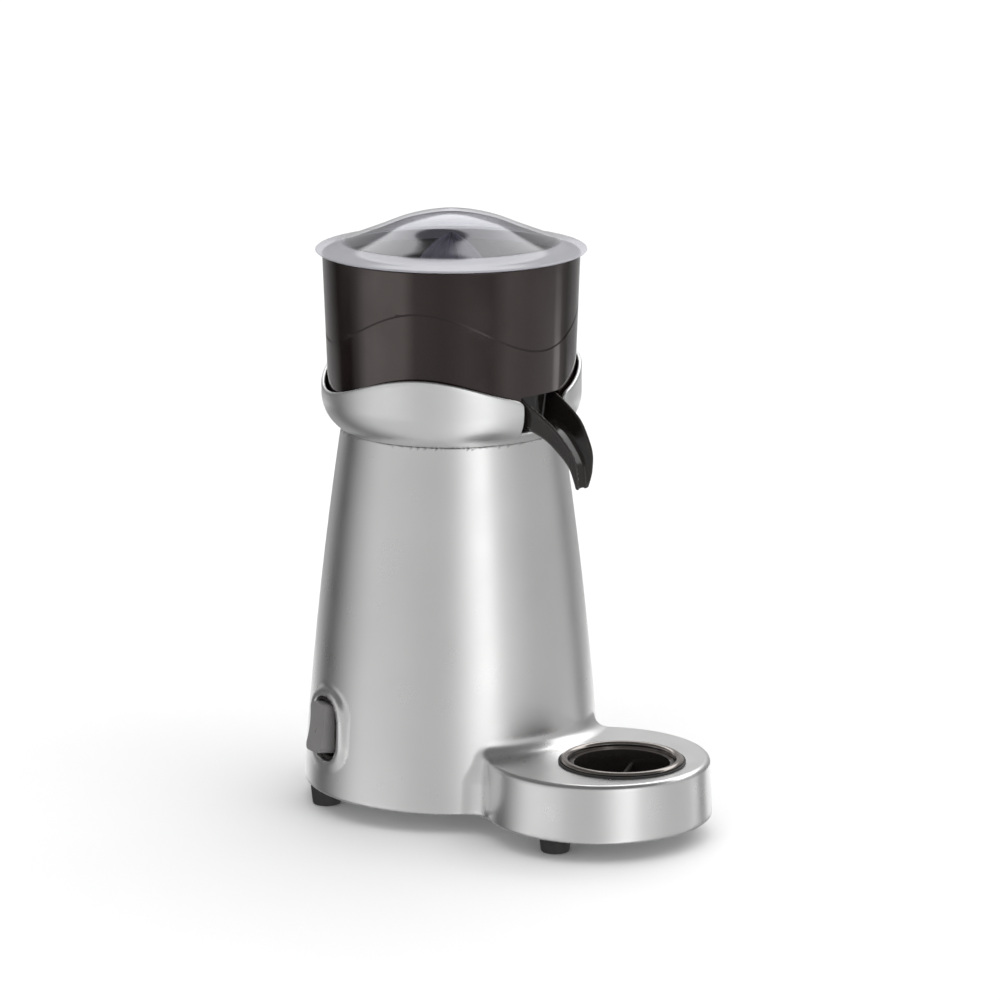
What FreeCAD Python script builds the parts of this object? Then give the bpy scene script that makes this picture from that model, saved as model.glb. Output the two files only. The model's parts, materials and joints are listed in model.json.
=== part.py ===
"""Citrus press juicer: cast body with a cup tray, direct-drive motor, lift-off bowl, strainer, reamer, lid.

Millimetres, +Z up, front towards -Y. Everything is drawn about the drive shaft's axis, with the floor at
z = 0, and is moved at the end so that the origin is the centre of the whole object's footprint, on the floor.
"""

import FreeCAD
import Part

import math
import os

Vector = FreeCAD.Vector
UP = Vector(0, 0, 1)

# ---------------------------------------------------------------- driving dimensions

# heights above the floor
BASE_Z = 12.0            # lower edge of the casting, held up by the feet
TRAY_TOP_Z = 47.1
BODY_TOP_Z = 231.0       # seam between casting and collar
BOWL_FLOOR_Z = 239.5     # underside of the bowl's floor
LEDGE_Z = 262.0          # ledge that carries the strainer
CHIMNEY_TOP_Z = 284.0
SHAFT_TOP_Z = 307.0
BOWL_RIM_Z = 337.8
LID_BRIM_Z = 339.6
LID_APEX_Z = 363.4

# casting
BASE_R = 90.8
NECK_R = 66.9
SIDE_BULGE = 2.2         # how far the tapered side bows out of a straight cone
WALL = 3.5
TRAY_Y = -139.8          # centre of the cup hole
TRAY_DISC_Y = -121.0     # centre of the round tray
TRAY_TOP_R = 66.5
TRAY_BASE_R = 68.0
WAIST_R = 12.0           # upright fillets between the tray's sides and the column
CUP_HOLE_R = 33.6
FLANGE_LOW_Z = 222.0     # inward flange under the collar, with the deck's seat in it
FLANGE_BORE_R = 56.0
FOOT_BOSS_R = 7.0        # screw bosses over the feet
REAR_BOSS_TOP_Z = 33.0
FOOT_SPOTS = {
    "foot_front_left": (-46.5, -129.0),
    "foot_front_right": (46.5, -129.0),
    "foot_rear_left": (-69.5, 39.5),
    "foot_rear_right": (69.5, 39.5),
}
FOOT_TOP_R = 9.8
FOOT_LOW_R = 8.6

# cup in the tray
SEAL_RING_R = 37.9       # rubber under the trim ring's flange
SEAL_RING_HEIGHT = 1.0
CUP_LOW_Z = 18.0
CUP_GRIP_ANGLE = 30.0

# collar
COLLAR_R = 78.5
COLLAR_WALL = 2.6
COLLAR_ARC_R = 24.4
COLLAR_ARC_Z = 252.0
COLLAR_FLANGE_TOP_Z = 234.5
COLLAR_BORE_R = 44.0
NOTCH_HALF = 17.2        # gap for the spout
NOTCH_Z = 238.6
WAVE_COUNT = 3
WAVE_Z = 265.0
WAVE_HEIGHT = 8.1

# motor deck between the casting and the collar
DECK_LOW_Z = 226.0
DECK_R = 62.9
DECK_SEAT_R = 63.4
DECK_HUB_R = 9.4
DECK_HUB_TOP_Z = 241.0
SEAL_R = 8.0
SEAL_LOW_Z = 234.0
DECK_SCREW_ANGLES = (45, 135, 225, 315)
DECK_SCREW_R = 59.5      # radius of the circle that the screws stand on
COLLAR_SCREW_ANGLES = (20, 140, 260)
COLLAR_SCREW_R = 51.5

# bowl and what stands in it
BOWL_TOP_R = 77.5
BOWL_LOW_R = 74.3
BOWL_LOW_Z = 251.6
BOWL_WALL = 2.4
BOWL_CORNER_R = 12.1     # round between the bowl's wall and floor
CHIMNEY_R = 13.0
CHIMNEY_BORE_R = 10.5
WINDOW_HALF = 16.2       # juice window in the bowl's wall, behind the spout
WINDOW_TOP_Z = 260.4
GROOVE_Z = 299.0
GROOVE_HEIGHT = 12.8
GROOVE_DEPTH = 0.5
GROOVE_WIDTH = 1.2
SPOUT_BACK = 63.5        # distance of the spout's root from the axis
SPOUT_WALL = 2.0
REAMER_FLOOR_Z = 276.0
REAMER_TIP_Z = 350.0
REAMER_R = 38.5
RIB_COUNT = 12
RIB_SWELL = 3.6
RIB_WIDTH = 2.2
LID_R = 81.9
LID_WALL = 2.2

# motor
SHAFT_R = 6.0
DRIVE_R = 5.0
DRIVE_FLAT = 3.6         # distance of the drive flat from the axis
CORE_R = 56.0
BORE_R = 30.2
CORE_LOW_Z = 120.0
CORE_HIGH_Z = 175.0
SLOT_COUNT = 18
SLOT_CIRCLE_R = 38.5
SLOT_R = 2.9
TIE_R = 48.0             # radius of the circle that the tie bolts stand on
TIE_ANGLES = (0, 90, 180, 270)
TIE_BOLT_R = 2.5
LOWER_SHIELD_Z = 92.0
UPPER_SHIELD_Z = 203.0
BEARING_R = 16.0
BEARING_HEIGHT = 10.0
BALL_CIRCLE_R = 11.0
BALL_R = 2.3
BALL_COUNT = 9
BLADE_COUNT = 9
CAPACITOR_X, CAPACITOR_Y, CAPACITOR_R = 40.0, 34.0, 14.0

# switch on the left side, a little to the rear
SWITCH_ANGLE = 163.5     # direction of its face, from +X towards +Y
SWITCH_Z = 53.0
SWITCH_FACE = 88.9       # distance of the boss's face from the axis
BOSS_WIDTH, BOSS_HEIGHT, BOSS_CORNER = 40.0, 48.0, 17.0
RECESS_WIDTH, RECESS_HEIGHT, RECESS_CORNER = 28.6, 39.6, 13.3
POCKET_WIDTH, POCKET_HEIGHT = 20.0, 33.6
ROCKER_WIDTH, ROCKER_HEIGHT = 18.0, 30.0
ROCKER_FACE = 95.6
ROCKER_PIVOT = 82.0
ROCKER_REST_TILT = 8.0
PIN_R = 1.2

# cable gland at the rear
GLAND_Z = 30.0
GLAND_R = 8.0
GLAND_BORE_R = 4.0
GLAND_END_Y = 100.0
GLAND_FLANGE_Y = 94.6

SCREW_R = 2.0
RUNNING = 0.05           # radial clearance of screws and turning fits
GAP = 0.3                # clearance between pieces that lift apart

parts = {}


# ---------------------------------------------------------------- drawing helpers

def disc(radius, low, high, x=0.0, y=0.0):
    return Part.makeCylinder(radius, high - low, Vector(x, y, low))


def ring(outer, inner, low, high, x=0.0, y=0.0):
    return disc(outer, low, high, x, y).cut(disc(inner, low, high, x, y))


def box(x_low, x_high, y_low, y_high, z_low, z_high):
    return Part.makeBox(x_high - x_low, y_high - y_low, z_high - z_low, Vector(x_low, y_low, z_low))


def in_section(point):
    """A (radius, height) pair as a point of the XZ plane."""
    return Vector(point[0], 0, point[1])


def section_face(steps):
    """Closed face in the XZ plane. A step is a point, or a (middle, end) pair of points for an arc."""
    edges = []
    here = steps[0]
    for step in steps[1:] + [steps[0]]:
        if isinstance(step[0], tuple):
            middle, end = step
            edges.append(Part.Arc(in_section(here), in_section(middle), in_section(end)).toShape())
        else:
            end = step
            edges.append(Part.makeLine(in_section(here), in_section(end)))
        here = end
    return Part.Face(Part.Wire(edges))


def turned(steps):
    """Solid of revolution about the drive axis."""
    return section_face(steps).revolve(Vector(0, 0, 0), UP, 360)


def around(shape, count, first=0.0):
    """Copies of a shape spread evenly about the drive axis."""
    copies = []
    for index in range(count):
        copy = shape.copy()
        copy.rotate(Vector(0, 0, 0), UP, first + index * 360.0 / count)
        copies.append(copy)
    return copies


def fused(shapes):
    whole = shapes[0]
    if len(shapes) > 1:
        whole = shapes[0].multiFuse(shapes[1:])
    return whole.removeSplitter()


def without(shape, tools):
    return shape.cut(Part.makeCompound(tools))


def spot(radius, angle):
    """Point at a radius and an angle from the front, positive towards +X."""
    turn = math.radians(angle)
    return radius * math.sin(turn), -radius * math.cos(turn)


def side_radius(z):
    """Outer radius of the casting's tapered side at a height."""
    share = (z - BASE_Z) / (BODY_TOP_Z - BASE_Z)
    chord = BASE_R + (NECK_R - BASE_R) * share
    return chord + 4 * SIDE_BULGE * share * (1 - share)


def bowl_radius(z):
    """Outer radius of the bowl's drafted wall at a height."""
    share = (z - BOWL_LOW_Z) / (BOWL_RIM_Z - BOWL_LOW_Z)
    return BOWL_LOW_R + (BOWL_TOP_R - BOWL_LOW_R) * share


def wave(angle, middle, height):
    """Height of the three-lobed edge: low at the front, where the spout is."""
    return middle - height * math.cos(math.radians(WAVE_COUNT * angle))


def wave_band(middle, height, thickness, inner, outer):
    """Solid between a wavy surface and the same surface raised; inner and outer give radii at a height."""
    rims = []
    for radius in (inner, outer):
        points = []
        for angle in range(0, 360, 6):
            z = wave(angle, middle, height)
            points.append(Vector(*spot(radius(z), angle), z))
        curve = Part.BSplineCurve()
        curve.interpolate(Points=points, PeriodicFlag=True)
        rims.append(curve.toShape())
    return Part.makeRuledSurface(rims[0], rims[1]).extrude(Vector(0, 0, thickness))


def rounded_plate(width, height, corner, y_low, y_high, z_mid):
    """Upright plate with round corners, from y_low to y_high, centred on x = 0."""
    half, tall = width / 2.0, height / 2.0
    slab = box(-half, half, y_low, y_high, z_mid - tall, z_mid + tall)
    along = [e for e in slab.Edges if abs(e.Vertexes[0].Y - e.Vertexes[-1].Y) > 0.1]
    return slab.makeFillet(corner, along)


# ---------------------------------------------------------------- casting

def column(inset, low, high):
    """Solid of the tapered column between two heights, with its side moved in."""
    middle = (low + high) / 2.0
    return turned([
        (0, low),
        (side_radius(low) - inset, low),
        ((side_radius(middle) - inset, middle), (side_radius(high) - inset, high)),
        (0, high),
    ])


def tray(inset, low, high):
    """Round slab that carries the cup, slightly wider at its foot and run into the column at its back."""
    return Part.makeCone(TRAY_BASE_R - inset, TRAY_TOP_R - inset, high - low, Vector(0, TRAY_DISC_Y, low))


def facing_switch(shape):
    """Turns a shape drawn facing the front to face the switch's direction."""
    shape.rotate(Vector(0, 0, 0), UP, SWITCH_ANGLE + 90.0)
    return shape


def waist_edges(shape):
    """Upright concave edges where the tray's sides run into the column."""
    found = []
    for edge in shape.Edges:
        ends = [v.Point for v in edge.Vertexes]
        if len(ends) < 2:
            continue
        tall = abs(ends[0].z - ends[1].z) > 0.8 * (TRAY_TOP_Z - BASE_Z)
        in_front = all(TRAY_DISC_Y < p.y < 0 and abs(p.x) > TRAY_TOP_R / 2.0 for p in ends)
        if tall and in_front:
            found.append(edge)
    return found


def body_housing():
    outer = fused([column(0, BASE_Z, BODY_TOP_Z), tray(0, BASE_Z, TRAY_TOP_Z)])
    outer = outer.makeFillet(WAIST_R, waist_edges(outer))
    boss = rounded_plate(BOSS_WIDTH, BOSS_HEIGHT, BOSS_CORNER, -SWITCH_FACE, -70.0, SWITCH_Z)
    face_rim = [e for e in boss.Edges if all(abs(v.Y + SWITCH_FACE) < 0.01 for v in e.Vertexes)]
    boss = facing_switch(boss.makeFillet(3.0, face_rim))
    shell = fused([outer, boss])
    hollow = fused([
        column(WALL, BASE_Z - 1.0, FLANGE_LOW_Z),
        tray(WALL, BASE_Z - 1.0, TRAY_TOP_Z - WALL),
    ])
    recess = facing_switch(rounded_plate(
        RECESS_WIDTH, RECESS_HEIGHT, RECESS_CORNER, -100.0, -60.0, SWITCH_Z))
    gland_hole = Part.makeCylinder(GLAND_R + 0.2, 40.0, Vector(0, 70.0, GLAND_Z), Vector(0, 1, 0))
    shell = without(shell, [
        hollow,
        disc(FLANGE_BORE_R, FLANGE_LOW_Z - 1, DECK_LOW_Z + 1),
        disc(DECK_SEAT_R, DECK_LOW_Z, BODY_TOP_Z + 1),
        disc(CUP_HOLE_R, TRAY_TOP_Z - 10, TRAY_TOP_Z + 1, 0, TRAY_Y),
    ])
    shell = shell.cut(recess).cut(gland_hole)
    bosses = []
    for x, y in FOOT_SPOTS.values():
        top = TRAY_TOP_Z - WALL / 2.0 if y < 0 else REAR_BOSS_TOP_Z
        bosses.append(disc(FOOT_BOSS_R, BASE_Z + 2.0, top, x, y).common(outer))
    shell = fused([shell] + bosses)
    holes = [disc(SCREW_R + RUNNING, BASE_Z, 31.0, x, y) for x, y in FOOT_SPOTS.values()]
    holes += [disc(SCREW_R + RUNNING, FLANGE_LOW_Z - 1, DECK_LOW_Z + 1, *spot(DECK_SCREW_R, angle))
              for angle in DECK_SCREW_ANGLES]
    return without(shell, holes)


# ---------------------------------------------------------------- collar, deck and underside

def on_arc(radius, down):
    """Point of the collar's round lower wall, an angle below the level of its widest place."""
    turn = math.radians(down)
    centre = COLLAR_R - COLLAR_ARC_R
    return centre + radius * math.cos(turn), COLLAR_ARC_Z - radius * math.sin(turn)


def cradle_collar():
    inner_arc = COLLAR_ARC_R - COLLAR_WALL
    outer_end = math.degrees(math.asin((COLLAR_ARC_Z - BODY_TOP_Z) / COLLAR_ARC_R))
    inner_end = math.degrees(math.asin((COLLAR_ARC_Z - COLLAR_FLANGE_TOP_Z) / inner_arc))
    top = WAVE_Z + WAVE_HEIGHT + 2.0
    body = turned([
        (COLLAR_BORE_R, BODY_TOP_Z),
        on_arc(COLLAR_ARC_R, outer_end),
        (on_arc(COLLAR_ARC_R, outer_end / 2), on_arc(COLLAR_ARC_R, 0)),
        (COLLAR_R, top),
        (COLLAR_R - COLLAR_WALL, top),
        on_arc(inner_arc, 0),
        (on_arc(inner_arc, inner_end / 2), on_arc(inner_arc, inner_end)),
        (COLLAR_BORE_R, COLLAR_FLANGE_TOP_Z),
    ])
    above = wave_band(WAVE_Z, WAVE_HEIGHT, 40.0, lambda z: 60.0, lambda z: 95.0)
    notch = box(-NOTCH_HALF, NOTCH_HALF, -95.0, -50.0, NOTCH_Z, top + 1.0)
    holes = [disc(SCREW_R + RUNNING, BODY_TOP_Z - 1, COLLAR_FLANGE_TOP_Z + 1, *spot(COLLAR_SCREW_R, a))
             for a in COLLAR_SCREW_ANGLES]
    return body.cut(above).cut(notch).cut(Part.makeCompound(holes))


def motor_deck():
    plate = disc(DECK_R, DECK_LOW_Z, BODY_TOP_Z)
    hub = disc(DECK_HUB_R, DECK_LOW_Z, DECK_HUB_TOP_Z)
    cuts = [
        disc(SHAFT_R + 0.6, DECK_LOW_Z - 1, DECK_HUB_TOP_Z + 1),
        disc(SEAL_R, SEAL_LOW_Z, DECK_HUB_TOP_Z + 1),
    ]
    for angle in DECK_SCREW_ANGLES:
        x, y = spot(DECK_SCREW_R, angle)
        cuts.append(disc(SCREW_R + RUNNING, DECK_LOW_Z - 1, BODY_TOP_Z + 1, x, y))
        cuts.append(disc(3.6, DECK_LOW_Z + 2.4, BODY_TOP_Z + 1, x, y))
    for angle in COLLAR_SCREW_ANGLES:
        cuts.append(disc(SCREW_R + RUNNING, DECK_LOW_Z + 0.5, BODY_TOP_Z + 1, *spot(COLLAR_SCREW_R, angle)))
    for angle in TIE_ANGLES:
        cuts.append(disc(TIE_BOLT_R + RUNNING, DECK_LOW_Z - 1, BODY_TOP_Z - 1.5, *spot(TIE_R, angle)))
    return without(fused([plate, hub]), cuts)


def base_plate():
    plate = fused([
        disc(side_radius(BASE_Z) - WALL - GAP, BASE_Z, BASE_Z + 2.0),
        tray(WALL + GAP, BASE_Z, BASE_Z + 2.0),
    ])
    cuts = [disc(SCREW_R + 0.3, BASE_Z - 1, BASE_Z + 3, x, y) for x, y in FOOT_SPOTS.values()]
    slot = box(24.0, 50.0, -2.0, 2.0, BASE_Z - 1, BASE_Z + 3)
    cuts += around(slot, 10, 18.0)
    return without(plate, cuts)


def foot(x, y):
    cone = Part.makeCone(FOOT_LOW_R, FOOT_TOP_R, BASE_Z, Vector(x, y, 0))
    return without(cone, [disc(4.4, -1, 5.0, x, y), disc(SCREW_R + RUNNING, 4, BASE_Z + 1, x, y)])


def screw(x, y, head_r, head_low, head_high, tip, shank_r=SCREW_R):
    """Round-head screw; the tip is above or below the head."""
    low, high = min(tip, head_low), max(tip, head_high)
    slot = box(x - head_r, x + head_r, y - 0.5, y + 0.5, 0, 1.0)
    if tip > head_high:
        slot.translate(Vector(0, 0, head_low - 0.01))
        shank = disc(shank_r, head_low, high, x, y)
    else:
        slot.translate(Vector(0, 0, head_high - 0.99))
        shank = disc(shank_r, low, head_high, x, y)
    return fused([disc(head_r, head_low, head_high, x, y), shank]).cut(slot)


# ---------------------------------------------------------------- cup recess in the tray

def cup_ring_seal():
    return ring(SEAL_RING_R, CUP_HOLE_R, TRAY_TOP_Z, TRAY_TOP_Z + SEAL_RING_HEIGHT, 0, TRAY_Y)


def cup_ring():
    """Turned trim: a round-edged flange, a collar down the hole and a ledge for the cup's lip."""
    z = TRAY_TOP_Z + SEAL_RING_HEIGHT
    body = turned([
        (33.2, z), (36.0, z), (36.6, z + 0.7), ((35.6, z + 1.8), (34.2, z + 2.1)),
        ((32.9, z + 1.8), (31.9, z + 0.6)),
        (31.9, z - 4.1), (30.5, z - 4.1), (30.5, z - 6.1), (33.2, z - 6.1),
    ])
    body.translate(Vector(0, TRAY_Y, 0))
    return body


def drip_cup():
    z = TRAY_TOP_Z + SEAL_RING_HEIGHT
    low = CUP_LOW_Z
    cup = turned([
        (0, low), (27.0, low), ((29.0, low + 0.8), (29.8, low + 2.8)), (30.2, z - 3.8), (31.6, z - 3.8),
        (31.6, z - 1.6), (28.6, z - 1.6), (28.0, low + 3.4),
        ((27.4, low + 2.1), (26.2, low + 1.6)), (0, low + 1.6),
    ])
    grip = box(-27.6, 27.6, -1.3, 1.3, low + 1.0, 39.0)
    long_edges = [e for e in grip.Edges
                  if e.Length > 50 and all(v.Z > 38 for v in e.Vertexes)]
    grip = grip.makeFillet(1.2, long_edges)
    grip.rotate(Vector(0, 0, 0), UP, CUP_GRIP_ANGLE)
    body = fused([cup, grip])
    body.translate(Vector(0, TRAY_Y, 0))
    return body


# ---------------------------------------------------------------- switch, gland and wiring

def switch_frame():
    frame = rounded_plate(28.2, 39.2, 13.1, -87.2, -66.0, SWITCH_Z)
    pocket = rounded_plate(POCKET_WIDTH, POCKET_HEIGHT, 5.0, -90.0, -74.0, SWITCH_Z)
    pin_hole = Part.makeCylinder(PIN_R, 24.0, Vector(-12.0, -ROCKER_PIVOT, SWITCH_Z), Vector(1, 0, 0))
    return facing_switch(frame.cut(pocket).cut(pin_hole))


def rocker_button():
    """Paddle with two shallow facets, drawn level and then tilted to its off position."""
    block = rounded_plate(ROCKER_WIDTH, ROCKER_HEIGHT, 4.5, -ROCKER_FACE, -77.0, SWITCH_Z)
    hollow = Part.makeCylinder(70.0, 40.0, Vector(-20.0, -ROCKER_FACE - 68.4, SWITCH_Z), Vector(1, 0, 0))
    bore = Part.makeCylinder(PIN_R + RUNNING, 40.0, Vector(-20.0, -ROCKER_PIVOT, SWITCH_Z), Vector(1, 0, 0))
    paddle = block.cut(hollow).cut(bore)
    paddle.rotate(Vector(0, -ROCKER_PIVOT, SWITCH_Z), Vector(1, 0, 0), -ROCKER_REST_TILT)
    return facing_switch(paddle)


def rocker_pin():
    return facing_switch(Part.makeCylinder(
        PIN_R, 24.0, Vector(-12.0, -ROCKER_PIVOT, SWITCH_Z), Vector(1, 0, 0)))


def switch_terminals():
    blades = []
    for x in (-5.0, 5.0):
        for dz in (-9.0, 0.0, 9.0):
            blades.append(box(x - 0.4, x + 0.4, -66.0, -58.0, SWITCH_Z + dz - 3.0, SWITCH_Z + dz + 3.0))
    return facing_switch(Part.makeCompound(blades))


def along_y(radius, y_low, y_high):
    return Part.makeCylinder(radius, y_high - y_low, Vector(0, y_low, GLAND_Z), Vector(0, 1, 0))


def cable_gland():
    sleeve = along_y(GLAND_R, 74.0, 92.0)
    flange = along_y(11.5, 91.0, GLAND_FLANGE_Y)
    nose = Part.makeCone(
        9.6, 7.4, GLAND_END_Y - GLAND_FLANGE_Y, Vector(0, GLAND_FLANGE_Y, GLAND_Z), Vector(0, 1, 0))
    return fused([sleeve, flange, nose]).cut(along_y(GLAND_BORE_R, 70.0, GLAND_END_Y + 1))


def gland_nut():
    sides = []
    for index in range(6):
        turn = math.radians(60 * index)
        sides.append(Vector(13.0 * math.cos(turn), 79.0, GLAND_Z + 13.0 * math.sin(turn)))
    hexagon = Part.Face(Part.makePolygon(sides + [sides[0]])).extrude(Vector(0, 5.4, 0))
    return hexagon.cut(along_y(GLAND_R + RUNNING, 70.0, 90.0))


def run_capacitor():
    can = disc(CAPACITOR_R, BASE_Z + 2.2, 62.0, CAPACITOR_X, CAPACITOR_Y)
    top = [e for e in can.Edges if all(v.Z > 61 for v in e.Vertexes)]
    can = can.makeFillet(1.5, top)
    posts = [disc(1.5, 61.5, 68.0, CAPACITOR_X + dx, CAPACITOR_Y) for dx in (-5.0, 5.0)]
    return fused([can] + posts)


def capacitor_clip():
    band = ring(CAPACITOR_R + 1.4, CAPACITOR_R + 0.2, 30.0, 38.0, CAPACITOR_X, CAPACITOR_Y)
    near, far = CAPACITOR_Y - 4.0, CAPACITOR_Y + 4.0
    post_x = CAPACITOR_X - 20.6
    leg = box(post_x - 1.4, CAPACITOR_X - CAPACITOR_R - 0.3, near, far, 30.0, 31.4)
    post = box(post_x - 1.4, post_x, near, far, BASE_Z + 2.0, 31.4)
    foot_tab = box(post_x - 9.4, post_x, near, far, BASE_Z + 2.0, BASE_Z + 3.4)
    return fused([band, leg, post, foot_tab])


def terminal_block():
    body = box(-34.0, 0.0, 52.0, 68.0, BASE_Z + 2.0, BASE_Z + 16.0)
    wells = [disc(2.6, BASE_Z + 8.0, BASE_Z + 17.0, -29.0 + 8.0 * i, 60.0) for i in range(4)]
    return without(body, wells)


def terminal_screws():
    return Part.makeCompound([
        disc(2.4, BASE_Z + 8.0, BASE_Z + 12.0, -29.0 + 8.0 * i, 60.0) for i in range(4)])


# ---------------------------------------------------------------- motor

def tie_holes(low, high):
    return [disc(TIE_BOLT_R + RUNNING, low, high, *spot(TIE_R, angle)) for angle in TIE_ANGLES]


def end_shield(closed_z, core_z):
    """Cup over one end of the motor, with a bearing seat in its closed end."""
    inward = 1.0 if core_z > closed_z else -1.0
    steps = [
        (SHAFT_R + 1.5, closed_z), (CORE_R + 1.0, closed_z), (CORE_R + 1.0, core_z), (CORE_R - 3.0, core_z),
        (CORE_R - 3.0, closed_z + 3.0 * inward), (BEARING_R + 3.0, closed_z + 3.0 * inward),
        (BEARING_R + 3.0, closed_z + (BEARING_HEIGHT + 2.0) * inward),
        (BEARING_R, closed_z + (BEARING_HEIGHT + 2.0) * inward), (BEARING_R, closed_z + 2.0 * inward),
        (SHAFT_R + 1.5, closed_z + 2.0 * inward),
    ]
    low, high = min(closed_z, core_z), max(closed_z, core_z)
    vents = around(box(24.0, 40.0, -3.5, 3.5, closed_z - 4.0, closed_z + 4.0), 8, 22.5)
    return without(turned(steps), tie_holes(low - 1, high + 1) + vents)


def slot_bars(radius, low, high):
    bars = []
    for index in range(SLOT_COUNT):
        bars.append(disc(radius, low, high, *spot(SLOT_CIRCLE_R, 10.0 + index * 360.0 / SLOT_COUNT)))
    return bars


def stator_core():
    core = ring(CORE_R, BORE_R, CORE_LOW_Z, CORE_HIGH_Z)
    slots = slot_bars(SLOT_R, CORE_LOW_Z - 1, CORE_HIGH_Z + 1)
    return without(core, slots + tie_holes(CORE_LOW_Z, CORE_HIGH_Z))


def end_turns(low, high):
    """Rounded bundle of windings on one face of the core."""
    inner, outer, soft = 32.0, 44.0, 3.0
    return turned([
        (inner, low + soft), ((inner + 0.9, low + 0.9), (inner + soft, low)), (outer - soft, low),
        ((outer - 0.9, low + 0.9), (outer, low + soft)), (outer, high - soft),
        ((outer - 0.9, high - 0.9), (outer - soft, high)), (inner + soft, high),
        ((inner + 0.9, high - 0.9), (inner, high - soft)),
    ])


def stator_windings():
    lower = end_turns(CORE_LOW_Z - 13.0, CORE_LOW_Z - 0.2)
    upper = end_turns(CORE_HIGH_Z + 0.2, CORE_HIGH_Z + 13.0)
    return fused([lower, upper] + slot_bars(SLOT_R - 0.1, CORE_LOW_Z - 1, CORE_HIGH_Z + 1))


def tie_bolts():
    return Part.makeCompound([
        screw(*spot(TIE_R, angle), 4.5, LOWER_SHIELD_Z - 4.0, LOWER_SHIELD_Z, BODY_TOP_Z - 2.0, TIE_BOLT_R)
        for angle in TIE_ANGLES])


def deck_spacers():
    return Part.makeCompound([
        ring(5.0, TIE_BOLT_R + RUNNING, UPPER_SHIELD_Z, DECK_LOW_Z, *spot(TIE_R, angle))
        for angle in TIE_ANGLES])


def race(outer, inner, low):
    """Bearing ring with its ball groove."""
    groove = Part.makeTorus(BALL_CIRCLE_R, BALL_R + RUNNING, Vector(0, 0, low + BEARING_HEIGHT / 2.0))
    return ring(outer, inner, low, low + BEARING_HEIGHT).cut(groove)


def balls(low):
    ball = Part.makeSphere(BALL_R, Vector(BALL_CIRCLE_R, 0, low + BEARING_HEIGHT / 2.0))
    return Part.makeCompound(around(ball, BALL_COUNT))


def motor_shaft():
    """Stepped shaft with a drive flat at its upper end."""
    shaft = turned([
        (0, 70.0), (SHAFT_R - 0.8, 70.0), (SHAFT_R, 70.8), (SHAFT_R, 228.0), (DRIVE_R, 229.0),
        (DRIVE_R, SHAFT_TOP_Z - 0.8), (DRIVE_R - 0.8, SHAFT_TOP_Z), (0, SHAFT_TOP_Z),
    ])
    return shaft.cut(box(DRIVE_FLAT, 10.0, -10.0, 10.0, SHAFT_TOP_Z - 19.0, SHAFT_TOP_Z + 1))


def rotor_core():
    return turned([
        (SHAFT_R, 117.0), (22.0, 117.0), (22.0, 118.0), (27.0, 118.0), (27.0, 121.5), (BORE_R - 0.4, 122.0),
        (BORE_R - 0.4, 173.0), (27.0, 173.5), (27.0, 177.0), (22.0, 177.0), (22.0, 178.0), (SHAFT_R, 178.0),
    ])


def cooling_fan():
    hub = ring(12.0, SHAFT_R, 72.0, 86.0)
    back = ring(44.0, SHAFT_R, 84.0, 86.0)
    blade = box(11.0, 44.0, -0.9, 0.9, 73.0, 84.5)
    return fused([hub, back] + around(blade, BLADE_COUNT))


def shaft_seal():
    """Lip seal in the deck's hub; its lip runs on the shaft."""
    return turned([
        (SEAL_R, SEAL_LOW_Z), (SEAL_R, DECK_HUB_TOP_Z - 0.4), (DRIVE_R + 1.2, DECK_HUB_TOP_Z - 0.4),
        (DRIVE_R + RUNNING, DECK_HUB_TOP_Z - 1.4), (DRIVE_R + RUNNING, DECK_HUB_TOP_Z - 2.4),
        (DRIVE_R + 1.0, DECK_HUB_TOP_Z - 3.4), (DRIVE_R + 1.4, SEAL_LOW_Z),
    ])


def shaft_slinger():
    """Rubber ring on the shaft that throws drips outwards, above the deck's hub."""
    low = DECK_HUB_TOP_Z + 1.0
    return turned([
        (DRIVE_R, low), (8.8, low - 0.5), (9.2, low + 1.0), (7.0, low + 1.6),
        (6.6, low + 5.0), (DRIVE_R, low + 5.0),
    ])


# ---------------------------------------------------------------- bowl, spout, strainer, reamer and lid

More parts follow.
